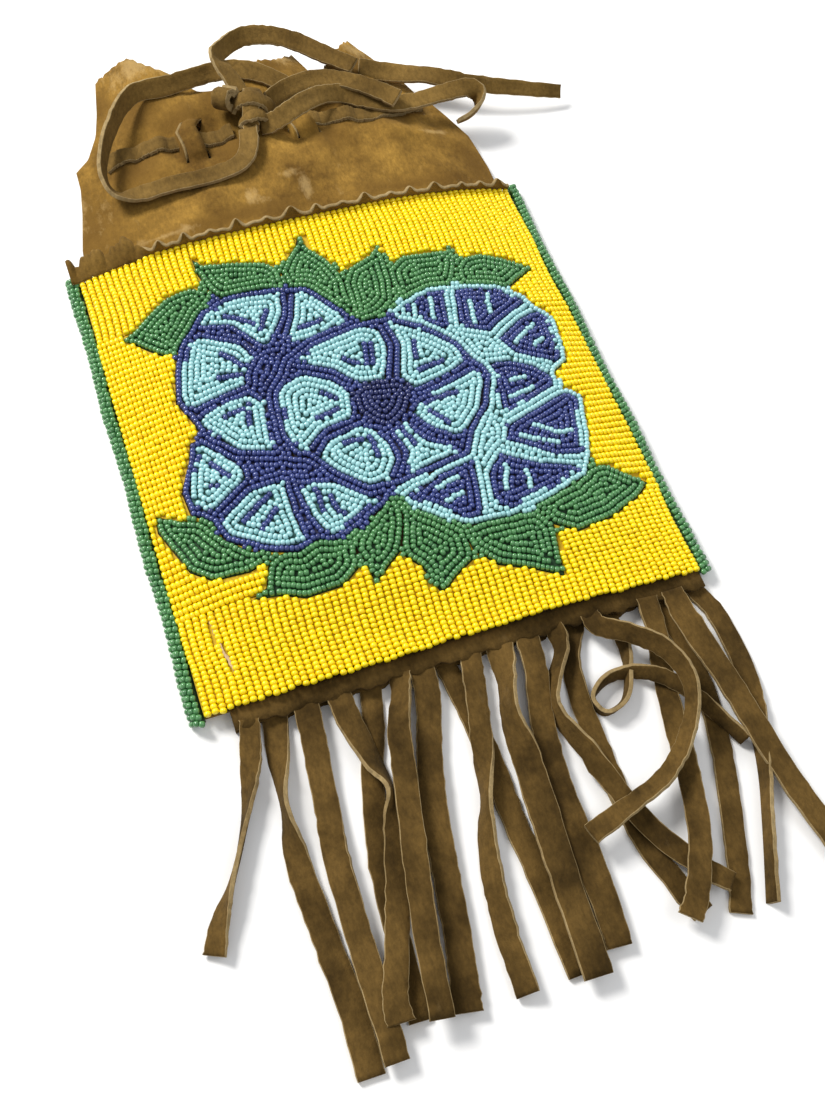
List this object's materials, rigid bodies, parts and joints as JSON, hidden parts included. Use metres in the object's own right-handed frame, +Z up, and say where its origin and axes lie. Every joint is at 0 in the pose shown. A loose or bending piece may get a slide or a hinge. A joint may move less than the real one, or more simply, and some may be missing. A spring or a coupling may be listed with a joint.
{
  "type": "beaded medicine bag",
  "caption": "Flat suede drawstring pouch with a floral beaded front, whipped bead edges, laced cuff and cut fringe",
  "frame": {"origin": "middle of the beaded square, on the surface that the bag's back lies on", "axes": "+Y from the fringe towards the mouth, +Z up out of the beaded front, +X to the right seen from the front"},
  "size_m": [0.2032, 0.345, 0.0214],
  "materials": {
    "suede": "brown brain-tanned suede, matt nap, scuffed",
    "thong_suede": "brown suede lace with paler cut edges",
    "fringe_suede": "brown suede, cut strips, matt nap",
    "yellow_beads": "opaque yellow glass seed beads",
    "green_beads": "opaque green glass seed beads",
    "light_blue_beads": "opaque light blue glass seed beads",
    "navy_beads": "opaque navy glass seed beads"
  },
  "bodies": {
    "root": {"back_panel": "suede", "centre_flower": "navy_beads", "centre_heart": "navy_beads", "centre_petal_1": "light_blue_beads", "centre_petal_2": "light_blue_beads", "centre_petal_3": "light_blue_beads", "centre_petal_4": "light_blue_beads", "centre_petal_5": "light_blue_beads", "centre_petal_6": "light_blue_beads", "cuff": "suede", "edge_beads_left": "green_beads", "edge_beads_right": "green_beads", "fringe_back": "fringe_suede", "fringe_front": "fringe_suede", "front_panel": "suede", "ground_bottom": "yellow_beads", "ground_left": "yellow_beads", "ground_right": "yellow_beads", "ground_top": "yellow_beads", "knot": "thong_suede", "leaf_bottom_1": "green_beads", "leaf_bottom_2": "green_beads", "leaf_bottom_3": "green_beads", "leaf_bottom_4": "green_beads", "leaf_bottom_5": "green_beads", "leaf_bottom_6": "green_beads", "leaf_top_1": "green_beads", "leaf_top_2": "green_beads", "leaf_top_3": "green_beads", "leaf_top_4": "green_beads", "leaf_top_5": "green_beads", "leaf_top_6": "green_beads", "lower_left_flower": "navy_beads", "lower_left_petal_1": "light_blue_beads", "lower_left_petal_2": "light_blue_beads", "lower_left_petal_3": "light_blue_beads", "lower_right_flower": "light_blue_beads", "lower_right_petal_1": "navy_beads", "lower_right_petal_2": "navy_beads", "lower_right_petal_3": "navy_beads", "ruffle": "suede", "thong_loop_left": "thong_suede", "thong_loop_right": "thong_suede", "thong_strand_short": "thong_suede", "thong_strand_top": "thong_suede", "thong_tail_long": "thong_suede", "thong_threaded_left": "thong_suede", "thong_threaded_right": "thong_suede", "upper_left_flower": "navy_beads", "upper_left_petal_1": "light_blue_beads", "upper_left_petal_2": "light_blue_beads", "upper_left_petal_3": "light_blue_beads", "upper_left_petal_4": "light_blue_beads", "upper_right_flower": "light_blue_beads", "upper_right_petal_1": "navy_beads", "upper_right_petal_2": "navy_beads", "upper_right_petal_3": "navy_beads", "upper_right_petal_4": "navy_beads"}
  },
  "joints": []
}
